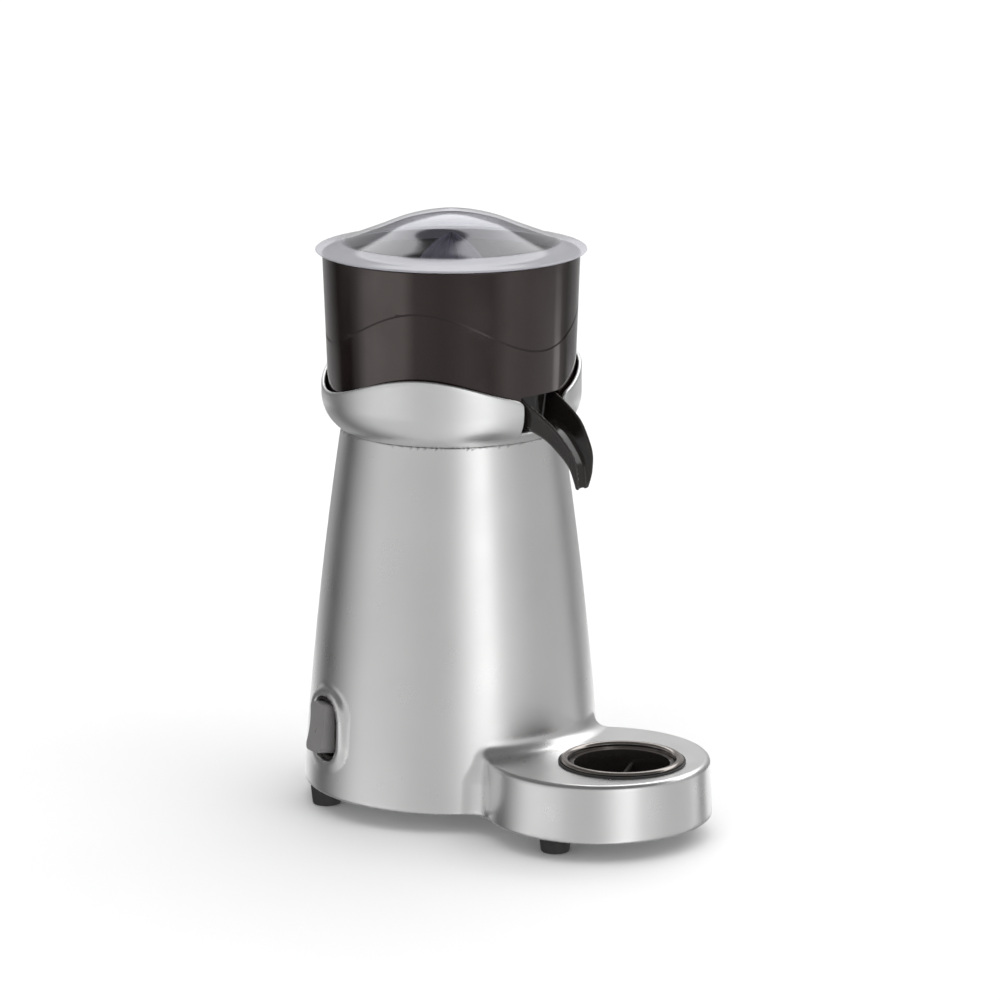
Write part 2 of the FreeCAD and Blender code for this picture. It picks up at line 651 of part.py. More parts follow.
def bowl():
    floor_top = BOWL_FLOOR_Z + 2.5
    corner = BOWL_LOW_R - BOWL_CORNER_R
    slope = BOWL_CORNER_R * math.sin(math.radians(45))
    inner_corner = BOWL_CORNER_R - BOWL_WALL
    inner_slope = inner_corner * math.sin(math.radians(45))
    body = turned([
        (CHIMNEY_BORE_R, BOWL_FLOOR_Z),
        (57.5, BOWL_FLOOR_Z), (57.5, COLLAR_FLANGE_TOP_Z + GAP), (60.0, COLLAR_FLANGE_TOP_Z + GAP),
        (60.0, BOWL_FLOOR_Z), (corner, BOWL_FLOOR_Z),
        ((corner + slope, BOWL_LOW_Z - slope), (BOWL_LOW_R, BOWL_LOW_Z)),
        (bowl_radius(BOWL_RIM_Z - 1.0), BOWL_RIM_Z - 1.0),
        ((BOWL_TOP_R - 0.3, BOWL_RIM_Z - 0.3), (BOWL_TOP_R - 1.0, BOWL_RIM_Z)),
        (BOWL_TOP_R - BOWL_WALL, BOWL_RIM_Z),
        (bowl_radius(LEDGE_Z) - BOWL_WALL, LEDGE_Z), (67.5, LEDGE_Z), (67.5, LEDGE_Z - 1.6),
        (bowl_radius(254.0) - BOWL_WALL, 254.0), (BOWL_LOW_R - BOWL_WALL, BOWL_LOW_Z),
        ((corner + inner_slope, BOWL_LOW_Z - inner_slope), (corner, floor_top)),
        (CHIMNEY_R, floor_top), (CHIMNEY_R, CHIMNEY_TOP_Z), (CHIMNEY_BORE_R, CHIMNEY_TOP_Z),
    ])
    window = box(-WINDOW_HALF, WINDOW_HALF, -90.0, -SPOUT_BACK, BOWL_FLOOR_Z - 1, WINDOW_TOP_Z)
    body = body.cut(window)
    groove = wave_band(
        GROOVE_Z, GROOVE_HEIGHT, GROOVE_WIDTH, lambda z: bowl_radius(z) - GROOVE_DEPTH, lambda z: 85.0)
    return body.cut(groove)


def spout_side(lift):
    """Side view of the chute as a face in the YZ plane; lift raises the floor, for its inside."""
    top_z = 262.0 if lift else 259.6
    root_floor = (SPOUT_BACK, 239.7 + lift)
    floor_curve = [(74.0, 239.7 + lift), (95.0, 228.4 + lift), (102.6, 221.8 + lift),
                   (106.0 + lift * 0.4, 207.6)]
    top_curve = [(107.8 + lift, 207.6), (109.6 + lift, 217.5), (107.6 + lift, 229.4 + lift),
                 (98.0 + lift, 242.6 + lift), (88.0, 250.6 + lift), (72.0, top_z)]

    def at(point):
        return Vector(0, -point[0], point[1])

    floor_spline = Part.BSplineCurve()
    floor_spline.interpolate(Points=[at(p) for p in floor_curve])
    top_spline = Part.BSplineCurve()
    top_spline.interpolate(Points=[at(p) for p in top_curve])
    edges = [
        Part.makeLine(at(root_floor), at(floor_curve[0])),
        floor_spline.toShape(),
        Part.makeLine(at(floor_curve[-1]), at(top_curve[0])),
        top_spline.toShape(),
        Part.makeLine(at(top_curve[-1]), at((SPOUT_BACK, top_z))),
        Part.makeLine(at((SPOUT_BACK, top_z)), at(root_floor)),
    ]
    return Part.Face(Part.Wire(edges))


def spout_front(inset):
    """Front view of the chute: wide at the root, drawn in towards the tip."""
    rows = [(15.9, 264.0), (15.7, 256.0), (14.0, 246.5), (11.2, 236.0), (8.6, 224.0), (5.4, 205.0)]
    points = [(x - inset, z) for x, z in rows]
    right = Part.BSplineCurve()
    right.interpolate(Points=[Vector(x, 0, z) for x, z in points])
    left = Part.BSplineCurve()
    left.interpolate(Points=[Vector(-x, 0, z) for x, z in points])
    edges = [
        right.toShape(),
        Part.makeLine(Vector(points[-1][0], 0, points[-1][1]), Vector(-points[-1][0], 0, points[-1][1])),
        left.toShape(),
        Part.makeLine(Vector(-points[0][0], 0, points[0][1]), Vector(points[0][0], 0, points[0][1])),
    ]
    return Part.Face(Part.Wire(Part.__sortEdges__(edges)))


def spout_solid(inset):
    side = spout_side(inset)
    side.translate(Vector(-30, 0, 0))
    front = spout_front(inset)
    front.translate(Vector(0, -130, 0))
    return side.extrude(Vector(60, 0, 0)).common(front.extrude(Vector(0, 100, 0)))


def spout_chute():
    return spout_solid(0.0).cut(spout_solid(SPOUT_WALL))


def strainer():
    z = LEDGE_Z + GAP
    body = turned([
        (CHIMNEY_R + 0.5, z), (71.2, z), (71.4, z + 8.0), (70.2, z + 8.0), (70.0, z + 1.2),
        (CHIMNEY_R + 1.9, z + 1.2),
        (CHIMNEY_R + 1.9, z + 5.5), (CHIMNEY_R + 0.5, z + 5.5),
    ])
    outer_slots = around(box(46.0, 66.0, -1.1, 1.1, z - 1, z + 2), 48)
    inner_slots = around(box(21.0, 42.0, -1.1, 1.1, z - 1, z + 2), 24, 3.75)
    return without(body, outer_slots + inner_slots)


def thrust_washer():
    low = CHIMNEY_TOP_Z + GAP
    return ring(12.6, DRIVE_R + 0.4, low, low + 2.0)


def reamer_outline(swell):
    """Half section of the pressing cone; swell moves it out for the ribs."""
    return [
        (0, REAMER_FLOOR_Z), (REAMER_R + swell, REAMER_FLOOR_Z), (REAMER_R + swell, REAMER_FLOOR_Z + 3.0),
        ((33.5 + swell, 302.0 + swell / 2), (19.5 + swell, 328.0 + swell / 2)),
        ((11.0 + swell / 2, 338.5 + swell / 2), (0, REAMER_TIP_Z - 4.0 + swell)),
    ]


def reamer():
    cone = turned(reamer_outline(0.0))
    rib = section_face(reamer_outline(RIB_SWELL))
    rib.translate(Vector(0, -RIB_WIDTH / 2.0, 0))
    rib = rib.extrude(Vector(0, RIB_WIDTH, 0))
    skirt = ring(17.0, CHIMNEY_R + 0.8, LEDGE_Z + GAP + 8.2, REAMER_FLOOR_Z + 1.0)
    solid = fused([cone] + around(rib, RIB_COUNT) + [skirt])
    socket = disc(DRIVE_R + RUNNING, 280.0, SHAFT_TOP_Z + 1.0)
    socket = socket.cut(box(DRIVE_FLAT + RUNNING, 10.0, -10.0, 10.0, SHAFT_TOP_Z - 18.5, SHAFT_TOP_Z + 2))
    return solid.cut(disc(CHIMNEY_R + 0.8, 260.0, CHIMNEY_TOP_Z + GAP + 2.2)).cut(socket)


def lid():
    """Shallow bell with a thin flared brim and a short skirt inside the bowl's mouth."""
    top = [(0, LID_APEX_Z), (15, 361.3), (30, 357.5), (45, 351.5), (60, 345.7), (70, 341.9), (77, 340.4),
           (LID_R, LID_BRIM_Z)]
    under_edge = 72.4
    under = [(under_edge, 338.6)] + [(r, z - LID_WALL) for r, z in reversed(top[:6])]
    top_curve = Part.BSplineCurve()
    top_curve.interpolate(Points=[in_section(p) for p in top], InitialTangent=Vector(10, 0, 0),
                          FinalTangent=Vector(10, 0, -1.4))
    under_curve = Part.BSplineCurve()
    under_curve.interpolate(Points=[in_section(p) for p in under], InitialTangent=Vector(-10, 0, 5),
                            FinalTangent=Vector(-10, 0, 0))
    low = BOWL_RIM_Z + GAP
    rim = [(LID_R, LID_BRIM_Z), (LID_R, low + 0.6), (LID_R - 1.4, low), (74.5, low), (74.5, low - 5.6),
           (under_edge, low - 5.6), (under_edge, 338.6)]
    edges = [top_curve.toShape()]
    for here, there in zip(rim, rim[1:]):
        edges.append(Part.makeLine(in_section(here), in_section(there)))
    edges.append(under_curve.toShape())
    edges.append(Part.makeLine(in_section((0, LID_APEX_Z - LID_WALL)), in_section((0, LID_APEX_Z))))
    return Part.Face(Part.Wire(edges)).revolve(Vector(0, 0, 0), UP, 360)


# ---------------------------------------------------------------- the assembly

def add(name, shape):
    parts[name] = shape


add("body_housing", body_housing())
add("cradle_collar", cradle_collar())
add("motor_deck", motor_deck())
add("base_plate", base_plate())
for foot_name, (foot_x, foot_y) in FOOT_SPOTS.items():
    add(foot_name, foot(foot_x, foot_y))
add("foot_screws", Part.makeCompound([screw(x, y, 3.8, 2.0, 5.0, 30.0) for x, y in FOOT_SPOTS.values()]))
add("deck_screws", Part.makeCompound([
    screw(*spot(DECK_SCREW_R, a), 3.4, DECK_LOW_Z + 2.4, BODY_TOP_Z - 0.2, FLANGE_LOW_Z - 3.0)
    for a in DECK_SCREW_ANGLES]))
add("collar_screws", Part.makeCompound([
    screw(*spot(COLLAR_SCREW_R, a), 3.2, COLLAR_FLANGE_TOP_Z, COLLAR_FLANGE_TOP_Z + 2.2, DECK_LOW_Z + 1.0)
    for a in COLLAR_SCREW_ANGLES]))
add("cup_ring_seal", cup_ring_seal())
add("cup_ring", cup_ring())
add("drip_cup", drip_cup())
add("switch_frame", switch_frame())
add("rocker_button", rocker_button())
add("rocker_pin", rocker_pin())
add("switch_terminals", switch_terminals())
add("cable_gland", cable_gland())
add("gland_nut", gland_nut())
add("run_capacitor", run_capacitor())
add("capacitor_clip", capacitor_clip())
add("terminal_block", terminal_block())
add("terminal_screws", terminal_screws())
add("lower_end_shield", end_shield(LOWER_SHIELD_Z, CORE_LOW_Z))
add("upper_end_shield", end_shield(UPPER_SHIELD_Z, CORE_HIGH_Z))
add("stator_core", stator_core())
add("stator_windings", stator_windings())
add("tie_bolts", tie_bolts())
add("deck_spacers", deck_spacers())
for side, bearing_low in (("lower", LOWER_SHIELD_Z + 2.0), ("upper", UPPER_SHIELD_Z - 2.0 - BEARING_HEIGHT)):
    add(side + "_bearing_outer_ring", race(BEARING_R, 13.2, bearing_low))
    add(side + "_bearing_inner_ring", race(8.8, SHAFT_R, bearing_low))
    add(side + "_bearing_balls", balls(bearing_low))
add("motor_shaft", motor_shaft())
add("rotor_core", rotor_core())
add("cooling_fan", cooling_fan())
add("shaft_seal", shaft_seal())
add("shaft_slinger", shaft_slinger())
add("bowl", bowl())
add("spout_chute", spout_chute())
add("strainer", strainer())
add("thrust_washer", thrust_washer())
add("reamer", reamer())
add("lid", lid())

bounds = Part.makeCompound(list(parts.values())).optimalBoundingBox(False)
to_origin = Vector(-bounds.Center.x, -bounds.Center.y, -bounds.ZMin)
os.makedirs("parts", exist_ok=True)
for name, shape in parts.items():
    shape.translate(to_origin)
    shape.exportStep("parts/" + name + ".step")
print("drive axis at x %.3f y %.3f, raised %.3f" % (to_origin.x, to_origin.y, to_origin.z))
print("size %.1f x %.1f x %.1f" % (bounds.XLength, bounds.YLength, bounds.ZLength))
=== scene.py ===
import json
import math

import bmesh
import bpy
import numpy as np
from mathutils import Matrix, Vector


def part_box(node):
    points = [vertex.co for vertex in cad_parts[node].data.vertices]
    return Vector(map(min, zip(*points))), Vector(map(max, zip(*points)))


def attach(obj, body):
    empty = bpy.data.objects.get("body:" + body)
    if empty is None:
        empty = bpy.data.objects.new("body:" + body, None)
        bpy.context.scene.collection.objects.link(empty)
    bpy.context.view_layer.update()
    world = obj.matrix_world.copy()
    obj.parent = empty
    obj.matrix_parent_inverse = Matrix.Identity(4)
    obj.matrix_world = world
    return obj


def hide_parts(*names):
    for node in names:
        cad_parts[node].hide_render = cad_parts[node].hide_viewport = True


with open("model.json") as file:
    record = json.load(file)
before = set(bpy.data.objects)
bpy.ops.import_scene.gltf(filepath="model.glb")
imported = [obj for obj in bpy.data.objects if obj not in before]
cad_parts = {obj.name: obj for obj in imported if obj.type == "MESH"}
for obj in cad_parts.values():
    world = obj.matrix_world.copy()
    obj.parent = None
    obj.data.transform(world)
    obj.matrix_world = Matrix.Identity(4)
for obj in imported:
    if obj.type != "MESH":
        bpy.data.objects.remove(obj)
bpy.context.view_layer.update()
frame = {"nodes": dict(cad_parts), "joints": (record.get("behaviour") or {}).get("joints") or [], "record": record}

# Citrus press juicer, drawn about its drive axis: front is -Y, heights are above the floor.
# Lengths are in millimetres until a mesh is made, which moves it to the axis and turns it to metres.
MM = 0.001
JOINTS = {joint["name"]: joint for joint in frame["joints"]}
AXIS = Vector(JOINTS["rotor_spin"]["pos_m"][:2] + [0.0])

# heights
BASE_Z = 12.0
TRAY_TOP_Z = 47.1
BODY_TOP_Z = 231.0
BOWL_RIM_Z = 337.8
LID_BRIM_Z = 339.6
LID_APEX_Z = 363.4

# casting
BASE_R, NECK_R, SIDE_BULGE = 90.8, 66.9, 2.2
WALL = 3.5
CUP_Y = -139.8
TRAY_Y, TRAY_TOP_R, TRAY_BASE_R = -121.0, 66.5, 68.0
TRAY_EDGE_R, FOOT_EDGE_R = 3.0, 2.2
TOP_FILLET_R, SIDE_FILLET_R, FILLET_GROWTH = 9.0, 15.0, 16.0    # the fillet grows over this drop
TOP_EDGE_R = 0.8
CUP_HOLE_R = 33.6
FLANGE_LOW_Z, FLANGE_BORE_R = 222.0, 56.0
DECK_LOW_Z, DECK_SEAT_R = 226.0, 63.4
GLAND_Z, GLAND_HOLE_R, GLAND_START_Y = 30.0, 8.2, 70.0
BORE_OVERCUT, CUP_OVERCUT = 5.0, 10.0            # how far below its face a hole starts
LEAN = 0.994                                     # cosine of the column's lean: level gap to distance
# The pitch is under WALL over the square root of 3, so that no cell holds both faces of a wall.
CASTING_PITCH, CASTING_MARGIN, BOSS_ROOM = 1.9, 3.0, 6.0

# switch, in its own frame: out from the axis, across, up
SWITCH_TURN = math.radians(163.5)
SWITCH_Z = 53.0
SWITCH_FACE = 88.9
BOSS_WIDTH, BOSS_HEIGHT, BOSS_CORNER = 40.0, 48.0, 17.0
RECESS_WIDTH, RECESS_HEIGHT, RECESS_CORNER = 28.6, 39.6, 13.3
BOSS_BACK, BOSS_EDGE_R, BOSS_FILLET_R, RECESS_EDGE_R = 60.0, 3.0, 4.0, 1.2

# collar
COLLAR_R, COLLAR_WALL = 78.5, 2.6
COLLAR_ARC_R, COLLAR_ARC_Z = 24.4, 252.0
COLLAR_FLANGE_TOP_Z, COLLAR_BORE_R = 234.5, 44.0
WAVE_Z, WAVE_HEIGHT = 265.0, 8.1
NOTCH_Z = 238.6
NOTCH_START, NOTCH_SLOPE = 12.5, 0.5             # degrees from the front
NOTCH_CORNER, NOTCH_CORNER_TURN = 2.2, 1.2       # how far the corner is rounded down, and over what turn
COLLAR_TURN_STEP = 1.5                           # degrees between the outlines of its mesh
NOTCH_STEPS = -1, 12                             # outlines at quarters of the notch's slope
OUTER_STEPS, INNER_STEPS, RIM_STEPS = 15, 11, 6

# spout
SPOUT_BACK, SPOUT_WALL = 63.5, 2.0
SPOUT_ROOT_LOW_Z, SPOUT_ROOT_HIGH_Z = 239.7, 259.6
SPOUT_EDGE_R, CHANNEL_EDGE_R, LIP_R = 2.4, 2.0, 0.7
SPOUT_BACK_WALL, SPOUT_LEAN = 1.0, 0.97          # the second is the cosine of the side walls' lean
STEEP_Z, STEEP_RUN = 232.0, 60.0                 # below this height the channel's floor also moves forward
CHANNEL_CLEARANCE = 3.0                          # distance from the chute's top to the channel's, in lifts
CHANNEL_RUN_OUT, CHANNEL_DRIFT = 12.0, 0.2       # how far the channel goes on past the lip, and forward
SPOUT_PITCH = 0.9

# lid
LID_R, LID_WALL, LID_SKIRT_R = 81.9, 2.2, 74.5
LID_GAP, LID_SKIRT_DEPTH, LID_SKIRT_WALL = 0.3, 5.6, 2.1

# reamer
REAMER_R, REAMER_FLOOR_Z, REAMER_APEX_Z = 38.5, 276.0, 346.0
REAMER_SKIRT_R, REAMER_SKIRT_Z = 17.0, 270.5
REAMER_BORE_R, REAMER_BORE_TOP_Z = 13.8, 286.6
SOCKET_R, SOCKET_TOP_Z = 5.05, 308.0
RIB_COUNT, RIB_SWELL, RIB_SHARPNESS = 12, 3.6, 5
RIB_ROOT_R, RIB_RISE = 12.0, 0.9                 # inside this radius ribs swell upward more than outward

# feet
FOOT_TOP_R, FOOT_LOW_R = 9.8, 8.6
FOOT_RECESS_R, FOOT_RECESS_DEPTH, FOOT_HOLE_R = 4.4, 5.0, 2.1


# ---------------------------------------------------------------- meshes

def piece(name, points, faces, body, slot, replaced=(), sharp=None):
    """A new piece of the object from points in millimetres about the drive axis."""
    mesh = bpy.data.meshes.new(name)
    mesh.from_pydata([Vector(p) * MM + AXIS for p in points], [], faces)
    work = bmesh.new()
    work.from_mesh(mesh)
    bmesh.ops.remove_doubles(work, verts=work.verts, dist=1e-6)
    bmesh.ops.recalc_face_normals(work, faces=work.faces)
    work.to_mesh(mesh)
    work.free()
    mesh.shade_smooth()
    if sharp is not None:
        mesh.set_sharp_from_angle(angle=math.radians(sharp))
    thing = bpy.data.objects.new(name, mesh)
    bpy.context.scene.collection.objects.link(thing)
    mesh.materials.append(material(slot))
    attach(thing, body)
    if replaced:
        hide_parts(*replaced)
    return thing


def rounded(corners, steps=5):
    """Closed outline from (a, b) corners; a third number rounds that corner to a radius."""
    outline = []
    for index, corner in enumerate(corners):
        here = Vector(corner[:2])
        if len(corner) < 3:
            outline.append(tuple(here))
            continue
        before = (Vector(corners[index - 1][:2]) - here).normalized()
        after = (Vector(corners[(index + 1) % len(corners)][:2]) - here).normalized()
        half = before.angle(after) / 2
        radius = corner[2]
        centre = here + (before + after).normalized() * radius / math.sin(half)
        start = here + before * radius / math.tan(half) - centre
        end = here + after * radius / math.tan(half) - centre
        sweep = start.angle_signed(end)
        for step in range(steps + 1):
            turn = -sweep * step / steps
            cosine, sine = math.cos(turn), math.sin(turn)
            outline.append((centre.x + start.x * cosine - start.y * sine,
                            centre.y + start.x * sine + start.y * cosine))
    return outline


def joined(segments, count):
    """Faces between closed outlines of count points that stand round an axis one after another."""
    faces = []
    for step in range(segments):
        here, there = step * count, (step + 1) % segments * count
        for k in range(count):
            after = (k + 1) % count
            faces.append((here + k, there + k, there + after, here + after))
    return faces


def turned(outline, segments, centre=(0.0, 0.0)):
    """Points and faces of a closed (radius, height) outline turned about an upright axis."""
    count = len(outline)
    points = []
    for step in range(segments):
        turn = 2 * math.pi * step / segments
        points += [(centre[0] + r * math.cos(turn), centre[1] + r * math.sin(turn), z) for r, z in outline]
    return points, joined(segments, count)


# ---------------------------------------------------------------- surfaces from a distance formula

def round_union(a, b, radius):
    """Distance to two shapes joined by a fillet of a radius."""
    near = np.hypot(np.maximum(radius - a, 0), np.maximum(radius - b, 0))
    return np.maximum(radius, np.minimum(a, b)) - near


def round_cut(a, b, radius):
    """Distance to where two shapes overlap, with the edge between them rounded."""
    near = np.hypot(np.maximum(radius + a, 0), np.maximum(radius + b, 0))
    return np.minimum(-radius, np.maximum(a, b)) + near


def slope_of(distance, points):
    """Gradient of a distance formula at points."""
    step = 0.02
    columns = []
    for axis in range(3):
        ahead, behind = points.copy(), points.copy()
        ahead[:, axis] += step
        behind[:, axis] -= step
        columns.append((distance(*ahead.T) - distance(*behind.T)) / (2 * step))
    return np.stack(columns, axis=1)


def settle(distance, points, rounds=4):
    """Points moved onto the surface where the distance is zero."""
    for _ in range(rounds):
        slope = slope_of(distance, points)
        size = np.maximum((slope ** 2).sum(1), 0.05)
        move = (distance(*points.T) / size)[:, None] * slope
        points = points - np.clip(move, -1.5, 1.5)
    return points


def surface_of(distance, low, high, pitch, relax=6):
    """Closed mesh of quads where a distance formula is zero, evened out and settled on it."""
    axes = [np.arange(a, b + pitch, pitch) for a, b in zip(low, high)]
    inside = distance(*np.meshgrid(*axes, indexing="ij")) < 0
    cells = tuple(n - 1 for n in inside.shape)
    count = np.zeros(cells, int)
    for i in (0, 1):
        for j in (0, 1):
            for k in (0, 1):
                count += inside[i:i + cells[0], j:j + cells[1], k:k + cells[2]]
    crossed = (count > 0) & (count < 8)
    index = np.full(cells, -1)
    index[crossed] = np.arange(crossed.sum())
    points = np.argwhere(crossed) * pitch + np.array([a[0] for a in axes]) + pitch / 2
    quads = []
    for axis in range(3):
        here = np.moveaxis(inside, axis, 0)
        around = np.moveaxis(index, axis, 0)
        crossing = np.argwhere(here[:-1, 1:-1, 1:-1] != here[1:, 1:-1, 1:-1])
        a, b, c = crossing[:, 0], crossing[:, 1] + 1, crossing[:, 2] + 1
        ring = [around[a, b - 1, c - 1], around[a, b, c - 1], around[a, b, c], around[a, b - 1, c]]
        ring = np.stack(ring, axis=1)
        flip = here[a, b, c] == (axis == 1)
        ring[flip] = ring[flip][:, ::-1]
        quads.append(ring)
    quads = np.concatenate(quads)
    edges = np.concatenate([quads[:, (k, (k + 1) % 4)] for k in range(4)])
    points = settle(distance, points)
    for _ in range(relax):
        total = np.zeros_like(points)
        shares = np.zeros(len(points))
        for a, b in ((0, 1), (1, 0)):
            np.add.at(total, edges[:, a], points[edges[:, b]])
            np.add.at(shares, edges[:, a], 1)
        points = settle(distance, points + 0.5 * (total / shares[:, None] - points), 1)
    return settle(distance, points), quads


def plate(a, b, width, height, corner):
    """Distance in a plane to a rectangle with round corners about the origin."""
    over_a, over_b = np.abs(a) - (width / 2 - corner), np.abs(b) - (height / 2 - corner)
    outside = np.hypot(np.maximum(over_a, 0), np.maximum(over_b, 0))
    return outside + np.minimum(np.maximum(over_a, over_b), 0) - corner


# ---------------------------------------------------------------- casting

def side_radius(z):
    """Radius of the column, which narrows upward along a slightly swollen line."""
    share = (z - BASE_Z) / (BODY_TOP_Z - BASE_Z)
    return BASE_R + (NECK_R - BASE_R) * share + 4 * SIDE_BULGE * share * (1 - share)


def casting_walls(x, y, z):
    """Distance to the column and tray, joined by fillets, with no lower or upper end."""
    column = (np.hypot(x, y) - side_radius(z)) * LEAN
    half = TRAY_TOP_R + (TRAY_BASE_R - TRAY_TOP_R) * (TRAY_TOP_Z - z) / (TRAY_TOP_Z - BASE_Z)
    slab = round_cut(np.hypot(x, y - TRAY_Y) - half, z - TRAY_TOP_Z, TRAY_EDGE_R)
    low = np.clip((TRAY_TOP_Z - z) / FILLET_GROWTH, 0, 1)
    fillet = TOP_FILLET_R + (SIDE_FILLET_R - TOP_FILLET_R) * low * low * (3 - 2 * low)
    return round_union(column, slab, fillet)


def casting(x, y, z):
    """Distance to the whole casting: a shell open below, with its boss, recess and holes."""
    out = x * math.cos(SWITCH_TURN) + y * math.sin(SWITCH_TURN)
    across = y * math.cos(SWITCH_TURN) - x * math.sin(SWITCH_TURN)
    up = z - SWITCH_Z
    walls = casting_walls(x, y, z)
    boss = np.maximum(plate(across, up, BOSS_WIDTH, BOSS_HEIGHT, BOSS_CORNER), BOSS_BACK - out)
    shell = round_union(walls, round_cut(boss, out - SWITCH_FACE, BOSS_EDGE_R), BOSS_FILLET_R)
    shell = round_cut(shell, z - BODY_TOP_Z, TOP_EDGE_R)
    shell = round_cut(shell, BASE_Z - z, FOOT_EDGE_R)
    shell = np.maximum(shell, -np.maximum(walls + WALL, z - FLANGE_LOW_Z))
    recess = np.maximum(plate(across, up, RECESS_WIDTH, RECESS_HEIGHT, RECESS_CORNER), BOSS_BACK - out)
    shell = round_cut(shell, -recess, RECESS_EDGE_R)
    radius = np.hypot(x, y)
    bore = np.maximum(radius - FLANGE_BORE_R, FLANGE_LOW_Z - BORE_OVERCUT - z)
    seat = np.maximum(radius - DECK_SEAT_R, DECK_LOW_Z - z)
    cup = np.maximum(np.hypot(x, y - CUP_Y) - CUP_HOLE_R, TRAY_TOP_Z - CUP_OVERCUT - z)
    gland = np.maximum(np.hypot(x, z - GLAND_Z) - GLAND_HOLE_R, GLAND_START_Y - y)
    return np.maximum.reduce([shell, -bore, -seat, -cup, -gland])


def add_casting():
    """The shell's surface, shaded by the slope of the formula instead of by its faces."""
    edge = CASTING_MARGIN
    low = (-BASE_R - edge - BOSS_ROOM, TRAY_Y - TRAY_BASE_R - edge, BASE_Z - edge)
    high = (BASE_R + edge, BASE_R + edge, BODY_TOP_Z + edge)
    points, quads = surface_of(casting, low, high, CASTING_PITCH)
    slopes = slope_of(casting, points)
    thing = piece("body_shell", points, quads.tolist(), "base", "cast_aluminium", ["body_housing"])
    lengths = np.maximum(np.linalg.norm(slopes, axis=1), 1e-6)
    thing.data.normals_split_custom_set_from_vertices((slopes / lengths[:, None]).tolist())


# ---------------------------------------------------------------- collar

def bulge(z, radius):
    """Radius of the collar's round lower wall at a height, or of its upright upper wall."""
    down = max(0.0, COLLAR_ARC_Z - z)
    return COLLAR_R - COLLAR_ARC_R + math.sqrt(max(0.0, radius ** 2 - down ** 2))


def collar_top(turn):
    """Height of the wavy rim at an angle from the front, with the gap for the spout."""
    wave = WAVE_Z - WAVE_HEIGHT * math.cos(3 * turn)
    off = abs(math.degrees((turn + math.pi) % (2 * math.pi) - math.pi))
    share = min(1.0, max(0.0, (off - NOTCH_START) / NOTCH_SLOPE))
    round_off = NOTCH_CORNER * math.exp(-max(0.0, off - NOTCH_START - NOTCH_SLOPE) / NOTCH_CORNER_TURN)
    return NOTCH_Z + (wave - round_off - NOTCH_Z) * share


def collar_outline(top):
    """Closed (radius, height) outline of the collar under a rim at a height."""
    half = COLLAR_WALL / 2
    outer, inner = [], []
    for step in range(OUTER_STEPS + 1):
        z = BODY_TOP_Z + (top - half - BODY_TOP_Z) * step / OUTER_STEPS
        outer.append((bulge(z, COLLAR_ARC_R), z))
    for step in range(INNER_STEPS + 1):
        z = top - half + (COLLAR_FLANGE_TOP_Z - top + half) * step / INNER_STEPS
        inner.append((bulge(z, COLLAR_ARC_R - COLLAR_WALL), z))
    middle = (outer[-1][0] + inner[0][0]) / 2
    reach = (outer[-1][0] - inner[0][0]) / 2
    turns = [math.pi * k / RIM_STEPS for k in range(1, RIM_STEPS)]
    rim = [(middle + reach * math.cos(turn), top - half + half * math.sin(turn)) for turn in turns]
    return outer + rim + inner + [(COLLAR_BORE_R, COLLAR_FLANGE_TOP_Z), (COLLAR_BORE_R, BODY_TOP_Z)]


def add_collar():
    """Collar of outlines round the axis, closer together where the rim drops into the notch."""
    degrees = [k * COLLAR_TURN_STEP for k in range(round(360 / COLLAR_TURN_STEP))]
    for side in (1, -1):
        degrees += [side * (NOTCH_START + NOTCH_SLOPE * k / 4) % 360 for k in range(*NOTCH_STEPS)]
    degrees = sorted(set(round(d, 3) for d in degrees))
    points = []
    for degree in degrees:
        turn = math.radians(degree)
        points += [(r * math.sin(turn), -r * math.cos(turn), z) for r, z in collar_outline(collar_top(turn))]
    faces = joined(len(degrees), len(points) // len(degrees))
    piece("cradle_shell", points, faces, "base", "collar_aluminium", ["cradle_collar"], sharp=35)


# ---------------------------------------------------------------- spout

def smooth_line(points, steps=8):
    """Points of a smooth curve through a few (a, b) points."""
    line = []
    for k in range(len(points) - 1):
        p0 = Vector(points[max(k - 1, 0)])
        p1, p2 = Vector(points[k]), Vector(points[k + 1])
        p3 = Vector(points[min(k + 2, len(points) - 1)])
        for step in range(steps):
            t = step / steps
            line.append(tuple(0.5 * (2 * p1 + (p2 - p0) * t + (2 * p0 - 5 * p1 + 4 * p2 - p3) * t * t
                                     + (3 * p1 - p0 - 3 * p2 + p3) * t ** 3)))
    return line + [tuple(points[-1])]


def inside_line(outline, a, b):
    """Signed distance in a plane to a closed outline, below zero inside it."""
    nearest = np.full(a.shape, 1e9)
    inside = np.zeros(a.shape, bool)
    for k, (a2, b2) in enumerate(outline):
        a1, b1 = outline[k - 1]
        run, rise = a2 - a1, b2 - b1
        share = np.clip(((a - a1) * run + (b - b1) * rise) / (run * run + rise * rise), 0, 1)
        nearest = np.minimum(nearest, np.hypot(a - a1 - run * share, b - b1 - rise * share))
        if rise != 0:
            inside ^= ((b1 > b) != (b2 > b)) & (a < a1 + run * (b - b1) / rise)
    return np.where(inside, -nearest, nearest)


